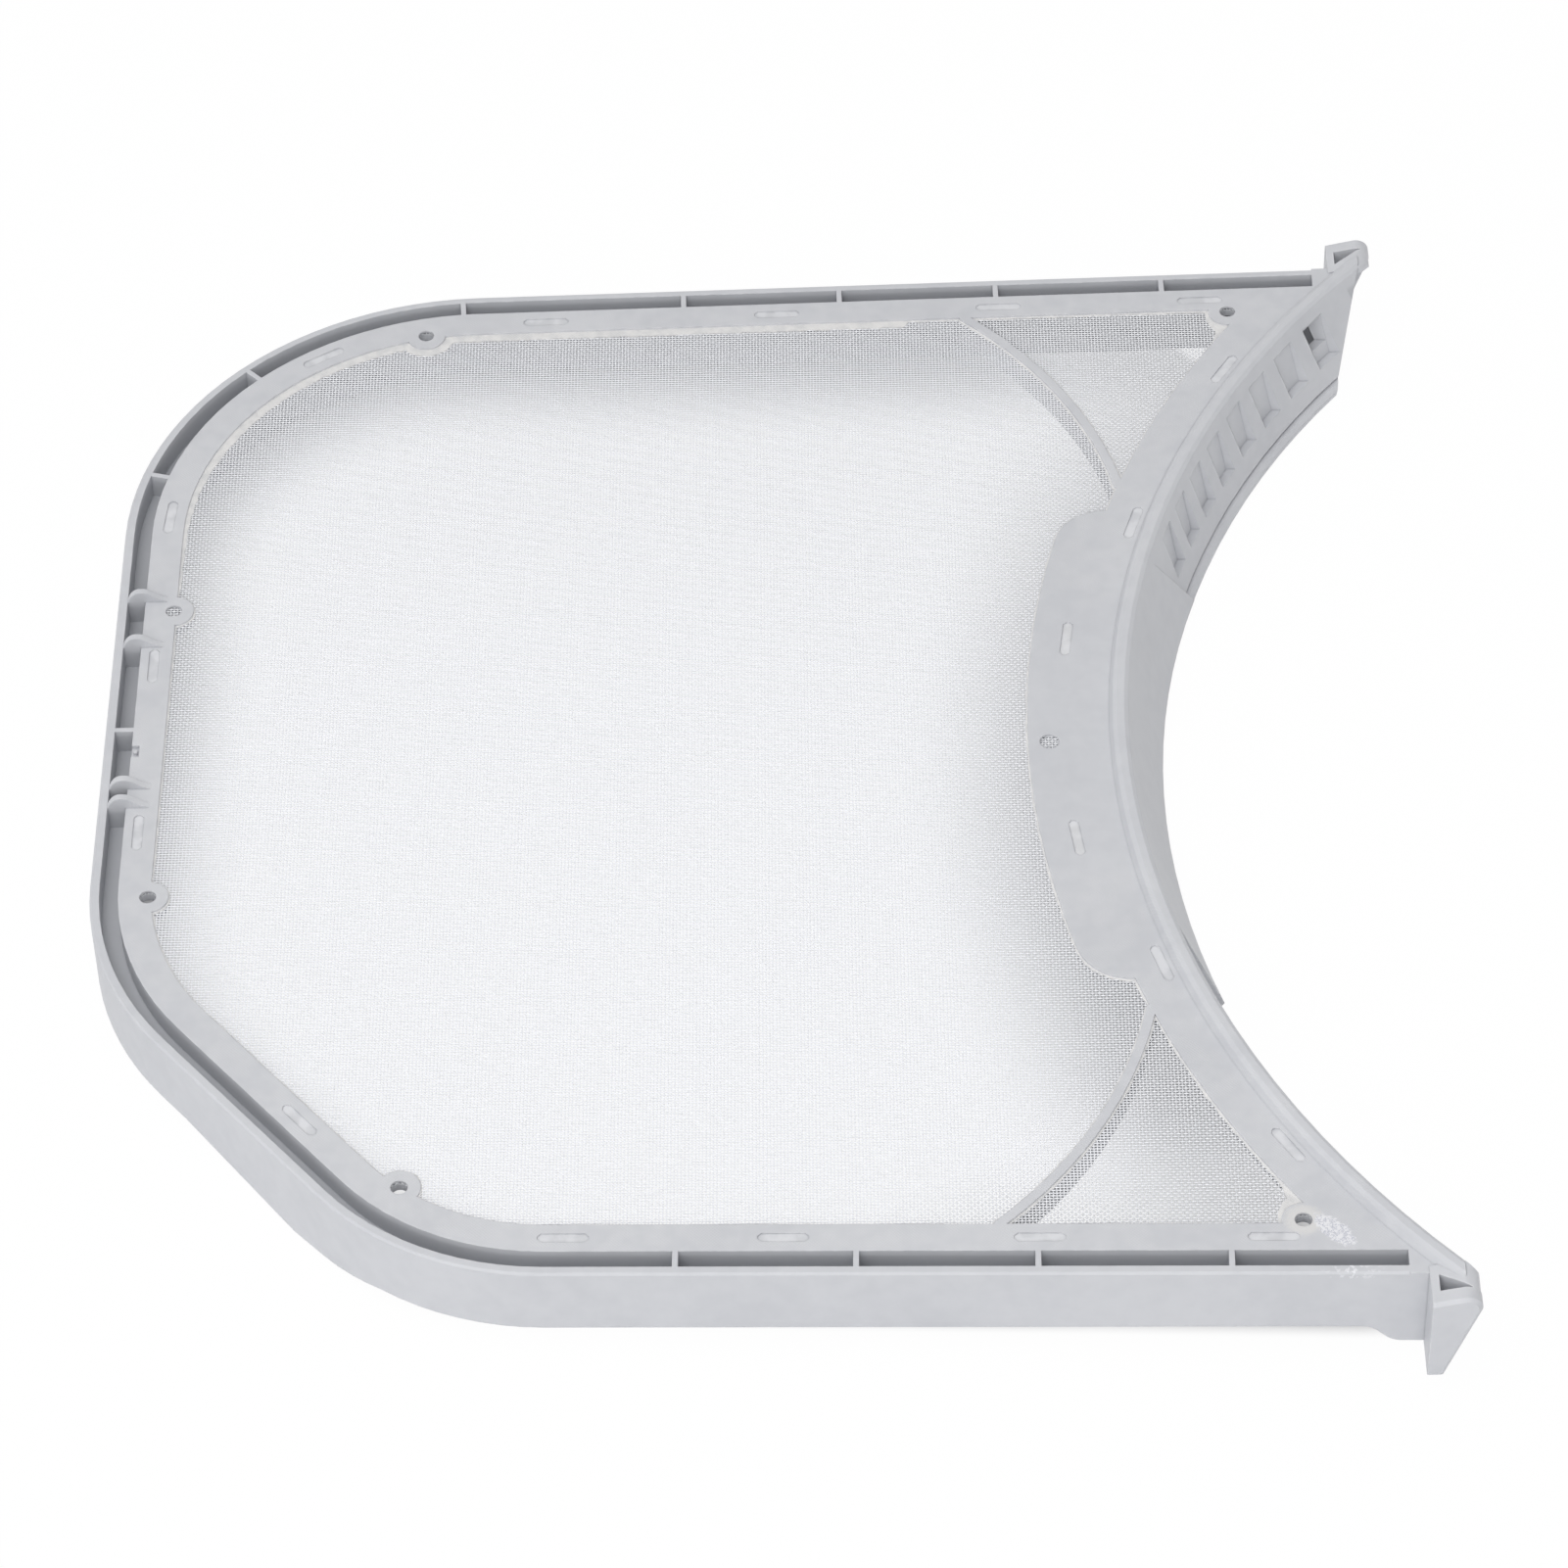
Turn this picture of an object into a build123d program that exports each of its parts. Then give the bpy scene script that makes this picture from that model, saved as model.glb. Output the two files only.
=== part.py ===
"""Lint filter of a tumble dryer: a moulded frame round a woven screen.

Millimetres, +Z up. The screen lies level, the origin is under the middle of the box on the lowest point,
the curved header is at +X and the rounded end at -X.
"""

import os
from math import asin, atan, cos, degrees, hypot, radians, sin, sqrt

from build123d import *

os.makedirs("parts", exist_ok=True)

# Plan
length = 335.4  # from the rounded end to the header's horns
width_left = 343.8  # across the two rails where their lines meet the rounded end
width_right = 357.6  # across the two rails at the horns
header_span = 377.4  # across the horns
far_corner_radius = 92.4
chamfer_x = 82.7  # cut-off corner, along the near rail
chamfer_y = 96.3  # cut-off corner, along the rounded end
chamfer_left_bend = 82.4
chamfer_near_bend = 72.4

# Heights
rail_depth = 19.6
end_depth = 24.8  # the outer wall is deeper beside the horns
end_step_start = 27.0  # from the horns back to where the wall starts to deepen
end_step_length = 10.0
dip_depth = 4.2  # the cut-off corner's wall runs down to a blunt point before its near bend
dip_start = 26.0  # from the rounded end
dip_point = 54.0
dip_end = 76.0

# Rails
rim = 2.4  # outer wall
channel = 4.7
channel_depth = 7.0
channel_floor = 2.0
inner_wall = 2.0
channel_end = 16.3  # from the horns back to the channel's end
rim_edge = 0.6  # chamfer along the top
rib_thickness = 1.4
rib_from_end = (57.7, 103.1, 145.9, 188.5)  # on each rail, from the horns
corner_rib_angles = (2.6, 43.7, 73.8)  # round the far corner, from the rail
end_rib_y = 8.8

# Flange and screen
flange = 8.2
flange_thickness = 3.4
screen_thickness = 0.5
screen_depth = 0.7  # from the flange's top to the screen's top
screen_grip = 6.0  # how far the screen's edge runs into the flange
screen_openings = 10  # each way, in the plain grid that stands for the weave
screen_pitch = 30.0
screen_opening = 26.5
screen_grid_x = 8.0  # middle of the grid
panel_rib_width = 2.4
panel_rib_depth = 9.0
panel_rib_from_end = 112.0  # from the horns back to where the panel rib leaves the rail's flange
panel_rib_meets_y = 93.4  # where it reaches the header's flange
panel_rib_sag = 6.2

# Header
header_radius = 255.9
header_flange = 15.1  # from the arc to the edge of the screen
header_lean = 0.30  # how far the wall leans towards the arc's axis per unit of depth
header_wall = 4.0
header_depth = 27.0  # from the rims to the lowest point
ridge_width = 3.4
ridge_foot = 1.3
ridge_height = 2.5
ridge_edge = 0.8
groove_depth = 22.5
groove_width = 0.7
groove_cut = 0.7
lip_proud = 2.0
lip_edge = 1.2
wall_overlap = 0.5  # how far the rails and the flange run into the wall
tab_reach = 10.4  # how far the middle tab reaches past the header's flange
tab_half_width = 83.5
tab_corner = 14.0

# Grip panel in the middle of the header's wall
grip_half_width = 64.0
grip_flare = 0.36
grip_depth = 24.0
grip_proud = 1.7
grip_round = 1.6
grip_bow = 16.0  # how much nearer the axis of its arc lies than the wall's

# Pockets in the header's wall
pocket_count = 8  # on each side of the grip
pocket_pitch = 11.6
pocket_first_y = 77.8
pocket_width = 7.1
pocket_height = 14.4
pocket_top = 2.0  # below the rims
pocket_cut = 0.5  # depth at the pocket's top
pocket_lean = 0.18  # the pockets' backs are steeper than the wall
window_width = 6.6  # through the back of the outermost pocket on each side
window_height = 8.6
window_top = 3.0

# Horns
horn_cap = 8.3  # from the arc's end out to the horn's side
horn_length = 11.8
horn_foot = 3.8  # length left at the bottom of the leaning end
horn_depth = 26.2
horn_width = 12.1
horn_wall = 2.0
horn_side = 4.2
horn_edge = 0.9  # chamfer round the side
horn_tip_round = 3.6
horn_rise_back = 0.2
horn_rise = 2.0
horn_pocket_length = 7.6
horn_pocket_width = 5.0
horn_pocket_depth = 14.0
wall_end = 3.6  # from the horns back to the top of the wall's end
wall_end_lean = 0.22

# Locating holes, recesses and fins
pin_radius = 2.1
boss_radius = 5.2
pin_rail_from_end = 40.2
pin_rail_inset = 16.4
pin_end_ys = (52.1, -50.1)
pin_end_inset = 14.7
pin_corner_inset = 14.2
pin_far_corner_angle = 10.3
pin_chamfer_along = 106.5  # from the rounded end
pin_chamfer_inset = 16.2
dimple_radius = 2.5
dimple_depth = 1.2
dimple_from_tab_edge = 5.5
dimple_y = -1.6
recess_length = 12.2
recess_width = 2.6
recess_corner = 0.9
recess_depth = 0.3
recess_inset = 11.3
recess_end_inset = 10.7
recess_from_end = (47.5, 102.5, 163.0)
recess_last_near = 215.0
recess_last_far = 226.0
recess_end_ys = (31.9, -27.7)
recess_far_corner_angles = (31.0, 84.2)
recess_chamfer_along = 73.8
recess_header_radius = 7.2  # past the arc
recess_header_angles = (17.4, 31.7)
recess_tab_angle = 7.5
recess_tab_from_edge = 8.8
fin_ys = (56.5, 39.6, -11.6, -18.2)
fin_length = 10.6
fin_peak = 3.6  # from the rim to the highest point
fin_rise = 3.2
fin_thickness = 1.8
notch_y = 1.0
notch_length = 4.0
notch_width = 2.0
notch_depth = 1.0
stud_size = 1.0

left = -length / 2
right = length / 2
taper = (width_right - width_left) / 2 / length
rail_slope = degrees(atan(taper))
rim_z = header_depth
header_top = rim_z + ridge_height
flange_inset = rim + channel + flange
horn_y = header_span / 2
arc_x = right + sqrt(header_radius**2 - (horn_y - horn_cap) ** 2)
header_half_angle = degrees(asin(horn_y / header_radius))
screen_radius = header_radius + header_flange
tab_radius = screen_radius + tab_reach
channel_end_x = right - channel_end


def half_width(x):
    """Half the width across the rails' outer faces at x."""
    return width_left / 2 + taper * (x - left)


def rail_place(x, inset, side):
    """A place on a rail, in from its outer face, turned along the rail."""
    y = half_width(x) - inset * hypot(1, taper)
    return Location((x, side * y, 0), (0, 0, side * rail_slope))


def end_place(y, inset):
    """A place on the rounded end's straight stretch."""
    return Location((left + inset, y, 0), (0, 0, 90))


# The far corner's arc touches the end wall and the far rail.
far_axis_x = left + far_corner_radius
far_axis_y = half_width(far_axis_x) - far_corner_radius * hypot(1, taper)
near_x = left + chamfer_x
chamfer_start = Vector(left, chamfer_y - width_left / 2)
chamfer_end = Vector(near_x, -half_width(near_x))
chamfer_way = (chamfer_end - chamfer_start).normalized()
chamfer_in = Vector(-chamfer_way.Y, chamfer_way.X)


def corner_place(angle, inset):
    """A place on the far corner, angle degrees round from the far rail."""
    turn = radians(90 + rail_slope + angle)
    reach = far_corner_radius - inset
    spot = (far_axis_x + reach * cos(turn), far_axis_y + reach * sin(turn), 0)
    return Location(spot, (0, 0, rail_slope + angle))


def chamfer_place(along, inset):
    """A place on the cut-off corner, along it from the rounded end."""
    spot = chamfer_start + chamfer_way * along + chamfer_in * inset
    return Location((spot.X, spot.Y, 0), (0, 0, degrees(asin(chamfer_way.Y))))


def header_place(radius, angle):
    """A place at a radius from the arc's axis, angle degrees round from the middle of the header."""
    turn = radians(180 - angle)
    return Location((arc_x + radius * cos(turn), radius * sin(turn), 0), (0, 0, 90 - angle))


def frame_plan(inset):
    """The plan inside the rails' outer faces, moved in by inset and run on to the arc's axis."""
    near_end = (arc_x, -half_width(arc_x))
    far_end = (arc_x, half_width(arc_x))
    far_corner = (left, half_width(left))
    bends = [chamfer_near_bend, chamfer_left_bend, far_corner_radius]
    with BuildSketch() as plan:
        with BuildLine():
            FilletPolyline(
                near_end,
                (chamfer_end.X, chamfer_end.Y),
                (chamfer_start.X, chamfer_start.Y),
                far_corner,
                far_end,
                radius=bends,
            )
            Line(far_end, near_end)
        make_face()
        if inset:
            offset(amount=-inset, mode=Mode.REPLACE)
    return plan.sketch


outer_plan = frame_plan(0)
channel_plan = frame_plan(rim)
inner_plan = frame_plan(rim + channel)
under_plan = frame_plan(rim + channel + inner_wall)
screen_plan = frame_plan(flange_inset)
grip_plan = frame_plan(flange_inset - screen_grip)

pin_places = [
    *(rail_place(right - pin_rail_from_end, pin_rail_inset, side) for side in (1, -1)),
    end_place(pin_end_ys[1], pin_end_inset),
    corner_place(pin_far_corner_angle, pin_corner_inset),
    chamfer_place(pin_chamfer_along, pin_chamfer_inset),
]
woven_pin_place = end_place(pin_end_ys[0], pin_end_inset)  # the screen runs on across this one

with BuildSketch() as tab:
    with Locations((arc_x, 0)):
        Circle(tab_radius)
    with Locations((arc_x, 0)):
        Rectangle(2 * tab_radius, 2 * tab_half_width, mode=Mode.INTERSECT)
    fillet(tab.vertices().group_by(Axis.X)[0], radius=tab_corner)

# Panel ribs are arcs from the rails' flanges to the header's flange, bowed towards the horns.
rib_start_x = right - panel_rib_from_end
rib_start = Vector(rib_start_x, half_width(rib_start_x) - flange_inset)
rib_end = Vector(arc_x - (screen_radius**2 - panel_rib_meets_y**2) ** 0.5, panel_rib_meets_y)
rib_way = (rib_end - rib_start).normalized()
rib_middle = (rib_start + rib_end) / 2 + Vector(-rib_way.Y, rib_way.X) * panel_rib_sag
with BuildSketch() as panel_ribs:
    with BuildLine(mode=Mode.PRIVATE) as rib_line:
        ThreePointArc(rib_start, rib_middle, rib_end)
    SlotArc(rib_line.edge(), panel_rib_width)
    mirror(about=Plane.XZ)

with BuildSketch() as panels:
    add(screen_plan)
    with Locations((arc_x, 0)):
        Circle(screen_radius, mode=Mode.SUBTRACT)
    add(tab.sketch, mode=Mode.SUBTRACT)
    add(panel_ribs.sketch, mode=Mode.SUBTRACT)
    with Locations(*pin_places, woven_pin_place):
        Circle(boss_radius, mode=Mode.SUBTRACT)

with BuildSketch() as screen_cut:
    add(grip_plan)
    with Locations((arc_x, 0)):
        Circle(screen_radius - screen_grip - ridge_width, mode=Mode.SUBTRACT)

# Solid corners between the channels' ends and the header
with BuildSketch() as solid_corners:
    add(outer_plan)
    with Locations((channel_end_x, 0)):
        Rectangle(arc_x, width_right, align=(Align.MIN, Align.CENTER), mode=Mode.INTERSECT)


def in_panel(place):
    """Whether a whole opening at this place lies within one panel."""
    half = screen_opening / 2
    corners = [place.position + Vector(x, y) for x in (-half, half) for y in (-half, half)]
    return any(all(panel.is_inside(corner) for corner in corners) for panel in panels.faces())


opening_grid = GridLocations(screen_pitch, screen_pitch, screen_openings, screen_openings)
opening_places = [Pos(screen_grid_x, 0) * place for place in opening_grid]
opening_places = [place for place in opening_places if in_panel(place)]

# Woven screen, moulded into the flange all round
with BuildPart() as screen:
    with BuildSketch(Plane.XY.offset(rim_z - screen_depth - screen_thickness)):
        add(screen_cut.sketch)
        with Locations(*pin_places):
            Circle(pin_radius, mode=Mode.SUBTRACT)
        with Locations(*opening_places):
            Rectangle(screen_opening, screen_opening, mode=Mode.SUBTRACT)
    extrude(amount=screen_thickness)
screen.part.label = "mesh_screen"


def wall_radius(z):
    """Outer radius of the header's wall at a height from the rims."""
    return header_radius + header_lean * (z - ridge_height)


def near_ray(axis_x):
    """Upright plane from an axis at axis_x towards the header's near end."""
    half_angle = radians(header_half_angle)
    return Plane(
        origin=(axis_x, 0, rim_z),
        x_dir=(-cos(half_angle), -sin(half_angle), 0),
        z_dir=(-sin(half_angle), cos(half_angle), 0),
    )


def upright_axis(axis_x):
    """Axis that the header's walls turn about, from the near end to the far one."""
    return Axis((axis_x, 0, 0), (0, 0, -1))


# Header: a wall on a cone about the arc's axis, with a ridge on top and a lip below
lip_top = -groove_depth - groove_width
horn_x = right - horn_length
wall_end_x = right - wall_end
end_face = Plane(origin=(wall_end_x, 0, header_top), x_dir=(0, 1, 0), z_dir=(1, 0, -wall_end_lean))


def pocket_radius(z):
    """Radius of the pockets' backs at a height from the rims."""
    return wall_radius(-pocket_top) + pocket_cut + pocket_lean * (z + pocket_top)


# Solid that fills the pockets, with their backs on a steeper cone
pocket_ys = [side * (pocket_first_y + pocket_pitch * i) for i in range(pocket_count) for side in (1, -1)]
with BuildPart() as pockets:
    with BuildSketch(Plane.YZ.offset(left)):
        with Locations(*((y, rim_z - pocket_top - pocket_height / 2) for y in pocket_ys)):
            Rectangle(pocket_width, pocket_height)
    extrude(amount=length)
    with Locations((arc_x, 0, 0)):
        Cone(
            bottom_radius=pocket_radius(-header_depth),
            top_radius=pocket_radius(header_depth),
            height=2 * header_depth,
            align=(Align.CENTER, Align.CENTER, Align.MIN),
            mode=Mode.INTERSECT,
        )

with BuildPart() as header:
    with BuildSketch(near_ray(arc_x)) as wall_section:
        with BuildLine():
            Polyline(
                (header_radius, ridge_height),
                (header_radius + ridge_width, ridge_height),
                (header_radius + ridge_width + ridge_foot, 0),
                (header_radius + ridge_width + ridge_foot, -flange_thickness),
                (wall_radius(-flange_thickness) + header_wall, -flange_thickness),
                (wall_radius(-header_depth) + header_wall, -header_depth),
                (wall_radius(-groove_depth) - lip_proud, -header_depth),
                (wall_radius(-groove_depth) - lip_proud, lip_top),
                (wall_radius(lip_top) + groove_cut, lip_top),
                (wall_radius(-groove_depth) + groove_cut, -groove_depth),
                (wall_radius(-groove_depth), -groove_depth),
                close=True,
            )
        make_face()
        chamfer(wall_section.vertices().group_by(Axis.Y)[-1], length=ridge_edge)
        chamfer(wall_section.vertices().group_by(Axis.X)[0], length=lip_edge)
    revolve(axis=upright_axis(arc_x), revolution_arc=2 * header_half_angle)
    split(bisect_by=end_face, keep=Keep.BOTTOM)
    add(pockets.part, mode=Mode.SUBTRACT)
    last_y = pocket_first_y + pocket_pitch * (pocket_count - 1)
    with BuildSketch(Plane.YZ.offset(left)):
        with Locations(*((side * last_y, rim_z - window_top - window_height / 2) for side in (1, -1))):
            Rectangle(window_width, window_height)
    extrude(amount=length, mode=Mode.SUBTRACT)

grip_x = arc_x - grip_bow
grip_top = header_radius - grip_bow
grip_foot = wall_radius(-grip_depth) - grip_bow
with BuildPart() as grip:
    with BuildSketch(near_ray(grip_x)):
        with BuildLine():
            Polyline(
                (grip_top + header_wall / 2, 0),
                (grip_top, 0),
                (grip_foot - grip_proud, -grip_depth + grip_round),
                (grip_foot - grip_proud + grip_round, -grip_depth),
                (grip_foot + header_wall / 2, -grip_depth),
                close=True,
            )
        make_face()
    revolve(axis=upright_axis(grip_x), revolution_arc=2 * header_half_angle)
    with BuildSketch(Plane.YZ.offset(arc_x - header_radius)):
        with BuildLine():
            Polyline(
                (-grip_half_width, rim_z),
                (grip_half_width, rim_z),
                (grip_half_width + grip_flare * grip_depth, rim_z - grip_depth),
                (-grip_half_width - grip_flare * grip_depth, rim_z - grip_depth),
                close=True,
            )
        make_face()
    extrude(amount=right - arc_x + header_radius, both=True, mode=Mode.INTERSECT)

# Horns: wedges that close the header's ends, each with a pocket on top
horn_top = rim_z + horn_rise
horn_back_top = rim_z + horn_rise_back
horn_base = rim_z - horn_depth
with BuildSketch() as horn_profile:
    with BuildLine():
        Polyline((horn_x, horn_back_top), (horn_x, horn_base), (horn_x + horn_foot, horn_base))
        CenterArc((right - horn_tip_round, horn_top - horn_tip_round), horn_tip_round, 0, 360)
    make_hull()
with BuildSketch() as horn_cap_profile:
    add(horn_profile.sketch)
    with Locations((horn_x, rim_z)):
        Rectangle(horn_length, horn_rise, align=(Align.MIN, Align.MIN), mode=Mode.INTERSECT)

with BuildPart() as horns:
    # Side wall, up to the leaning end
    with BuildSketch(Plane.XZ.offset(-horn_y)):
        add(horn_profile.sketch)
    extrude(amount=horn_side)
    side_edges = horns.faces().sort_by(Axis.Y)[-1].edges()
    chamfer(side_edges.sort_by(Axis.X)[1:], length=horn_edge)
    # Plate and core behind the header's wall, then the cap that joins the ridge to the side wall
    with BuildSketch(Plane.XZ.offset(horn_side - horn_y)):
        with BuildLine():
            Polyline(
                (horn_x, horn_back_top),
                (wall_end_x, horn_back_top),
                (wall_end_x - wall_end_lean * (header_top - horn_base), horn_base),
                (horn_x, horn_base),
                close=True,
            )
        make_face()
    extrude(amount=horn_width - horn_side)
    with BuildSketch(Plane.XZ.offset(horn_side - horn_y)):
        add(horn_cap_profile.sketch)
    extrude(amount=horn_width - horn_side)
    with Locations((arc_x, 0, 0)):
        Cone(
            bottom_radius=wall_radius(-header_depth),
            top_radius=wall_radius(header_depth),
            height=2 * header_depth,
            align=(Align.CENTER, Align.CENTER, Align.MIN),
            mode=Mode.SUBTRACT,
        )
    horn_pocket_x = horn_x + horn_wall
    horn_pocket_y = horn_y - horn_side
    with BuildSketch(Plane.XY.offset(horn_top)):
        with BuildLine():
            Polyline(
                (horn_pocket_x, horn_pocket_y),
                (horn_pocket_x + horn_pocket_length, horn_pocket_y),
                (horn_pocket_x, horn_pocket_y - horn_pocket_width),
                close=True,
            )
        make_face()
    extrude(amount=-horn_pocket_depth, mode=Mode.SUBTRACT)
    mirror(about=Plane.XZ)

# Fins that bridge the channel in the rounded end
with BuildPart() as fins:
    fin_start = left + rim
    fin_end = fin_start + fin_length
    for y in fin_ys:
        with BuildSketch(Plane.XZ.offset(-y)):
            with BuildLine():
                Spline(
                    (fin_start, rim_z),
                    (fin_start + fin_peak, rim_z + fin_rise),
                    (fin_end, rim_z),
                    tangents=((0.4, 1), (1, 0), (1, -0.35)),
                )
                Polyline(
                    (fin_end, rim_z),
                    (fin_end, rim_z - screen_depth),
                    (fin_start + channel, rim_z - screen_depth),
                    (fin_start + channel, rim_z - channel_depth),
                    (fin_start, rim_z - channel_depth),
                    (fin_start, rim_z),
                )
            make_face()
        extrude(amount=fin_thickness / 2, both=True)

# Space under the outer wall, down to the wall's depth beside the horns, for the near and the far side
foot_z = rim_z - rail_depth
deep_z = rim_z - end_depth
step_x = right - end_step_start
dip = [(left + dip_start, foot_z), (left + dip_point, foot_z - dip_depth), (left + dip_end, foot_z)]


def wall_foot(points):
    """Area under the outer wall's lower edge, which passes through points before the step to the horns."""
    with BuildSketch() as foot:
        with BuildLine():
            Polyline((left - rim, foot_z), *points, (step_x, foot_z))
            Spline(
                (step_x, foot_z), (step_x + end_step_length, deep_z), tangents=((1, 0), (1, 0))
            )
            Polyline((step_x + end_step_length, deep_z), (left - rim, deep_z), (left - rim, foot_z))
        make_face()
    return foot


near_foot = wall_foot(dip)
far_foot = wall_foot([])

# Frame: both rails, the flange, the ribs and the header are one moulding
with BuildPart() as frame:
    with BuildSketch(Plane.XY.offset(rim_z - end_depth)):
        add(outer_plan)
        add(channel_plan, mode=Mode.SUBTRACT)
    extrude(amount=end_depth)
    chamfer(frame.faces().sort_by(Axis.Z)[-1].outer_wire().edges(), length=rim_edge)
    for foot_line, way in ((near_foot, 1), (far_foot, -1)):
        with BuildSketch(Plane.XZ):
            add(foot_line.sketch)
        extrude(amount=way * header_span, mode=Mode.SUBTRACT)
    with BuildSketch(Plane.XY.offset(rim_z - rail_depth)):
        add(inner_plan)
        add(under_plan, mode=Mode.SUBTRACT)
    extrude(amount=rail_depth)
    with BuildSketch(Plane.XY.offset(rim_z - channel_depth - channel_floor)):
        add(channel_plan)
        add(inner_plan, mode=Mode.SUBTRACT)
    extrude(amount=channel_floor)

    # Flange, with the solid corners
    with BuildSketch(Plane.XY.offset(rim_z - flange_thickness)):
        add(inner_plan)
        add(solid_corners.sketch)
        add(panels.sketch, mode=Mode.SUBTRACT)
    extrude(amount=flange_thickness)

    # Ribs across the channel
    rib_inset = rim + channel / 2
    rib_places = [
        *(rail_place(right - back, rib_inset, side) for back in rib_from_end for side in (1, -1)),
        *(corner_place(angle, rib_inset) for angle in corner_rib_angles),
        end_place(end_rib_y, rib_inset),
        *(rail_place(channel_end_x + rib_thickness / 2, rib_inset, side) for side in (1, -1)),
    ]
    with BuildSketch(Plane.XY.offset(rim_z - channel_depth - channel_floor / 2)):
        with Locations(*rib_places):
            Rectangle(rib_thickness, channel + rim)
    extrude(amount=channel_depth + channel_floor / 2)

    # Ribs under the screen, between the panels
    with BuildSketch(Plane.XY.offset(rim_z - panel_rib_depth)):
        add(panel_ribs.sketch)
    extrude(amount=panel_rib_depth)

    # The rails and the flange end inside the header's wall and the horns' plates
    with Locations((arc_x, 0, rim_z - header_depth)):
        Cone(
            bottom_radius=wall_radius(-header_depth) + header_wall - wall_overlap,
            top_radius=wall_radius(header_depth) + header_wall - wall_overlap,
            height=2 * header_depth,
            align=(Align.CENTER, Align.CENTER, Align.MIN),
            mode=Mode.SUBTRACT,
        )
    split(bisect_by=Plane.YZ.offset(horn_x + horn_wall), keep=Keep.BOTTOM)
    add(header.part)
    add(grip.part)
    add(horns.part)
    add(fins.part)

    # Locating holes through the flange, the dimple in the tab and the oblong recesses
    with BuildSketch(Plane.XY.offset(rim_z)):
        with Locations(*pin_places, woven_pin_place):
            Circle(pin_radius)
    extrude(amount=-flange_thickness, mode=Mode.SUBTRACT)
    with BuildSketch(Plane.XY.offset(rim_z)):
        with Locations((arc_x - tab_radius + dimple_from_tab_edge, dimple_y)):
            Circle(dimple_radius)
    extrude(amount=-dimple_depth, mode=Mode.SUBTRACT)
    recess_places = [
        *(rail_place(right - back, recess_inset, side) for back in recess_from_end for side in (1, -1)),
        rail_place(right - recess_last_near, recess_inset, -1),
        rail_place(right - recess_last_far, recess_inset, 1),
        *(end_place(y, recess_end_inset) for y in recess_end_ys),
        *(corner_place(angle, recess_inset) for angle in recess_far_corner_angles),
        chamfer_place(recess_chamfer_along, recess_inset),
        *(
            header_place(header_radius + recess_header_radius, side * angle)
            for angle in recess_header_angles
            for side in (1, -1)
        ),
        *(header_place(tab_radius - recess_tab_from_edge, side * recess_tab_angle) for side in (1, -1)),
    ]
    with BuildSketch(Plane.XY.offset(rim_z)) as recesses:
        with Locations(*recess_places):
            Rectangle(recess_length, recess_width)
        chamfer(recesses.vertices(), length=recess_corner)
    extrude(amount=-recess_depth, mode=Mode.SUBTRACT)

    # Notch with a stud in the flange's channel edge
    notch_x = left + rim + channel
    with BuildSketch(Plane.XY.offset(rim_z)):
        with Locations((notch_x, notch_y)):
            Rectangle(notch_width, notch_length, align=(Align.MIN, Align.CENTER))
            with Locations((notch_width / 2, 0)):
                Rectangle(stud_size, stud_size, mode=Mode.SUBTRACT)
    extrude(amount=-notch_depth, mode=Mode.SUBTRACT)

    # The screen's own space
    with BuildSketch(Plane.XY.offset(rim_z - screen_depth)):
        add(screen_cut.sketch)
    extrude(amount=-screen_thickness, mode=Mode.SUBTRACT)
frame.part.label = "frame"

export_step(frame.part, "parts/frame.step")
export_step(screen.part, "parts/mesh_screen.step")
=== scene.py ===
"""Looks of a tumble dryer lint filter: a pale grey moulded frame that carries a white woven screen."""

import random
from math import cos, exp, pi, radians, sin

import bpy
from mathutils import Matrix, Vector


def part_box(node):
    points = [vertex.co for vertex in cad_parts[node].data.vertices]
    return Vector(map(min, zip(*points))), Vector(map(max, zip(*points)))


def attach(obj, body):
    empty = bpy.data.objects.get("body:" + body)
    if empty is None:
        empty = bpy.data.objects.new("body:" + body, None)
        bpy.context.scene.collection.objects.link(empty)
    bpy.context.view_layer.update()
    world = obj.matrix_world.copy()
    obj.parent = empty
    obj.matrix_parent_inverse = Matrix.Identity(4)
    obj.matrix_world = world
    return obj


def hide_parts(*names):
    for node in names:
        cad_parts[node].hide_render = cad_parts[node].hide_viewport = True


MM = 0.001

# The woven screen: two layers of drawn thread that fill the thickness of the solid sheet.
thread_pitch = 0.85 * MM
thread_thickness = 0.33 * MM
thread_sides = 6
thread_stray = 0.035 * MM
thread_seed = 7
screen_flat = (0.308, 0.338)
pin_hole_most = 6.0 * MM

# The skin of plastic that ran out into the weave along the panels' edges, in millimetres.
flash_top = 26.5
flash_edge = 26.38
flash_under = 25.95
flash_overlap = 0.05
flash_step = 0.6
flash_least = 0.45
flash_ragged = 0.3
flash_far_rail = 1.9
flash_far_from = 60.0
flash_far_full = 120.0
flash_far_end = 40.0
flash_tip = 3.2
flash_tip_reach = 5.0
flash_seed = 11
panel_area_least = 1500.0
panel_width_most = 280.0
sharp_corner_past = 100.0

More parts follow.
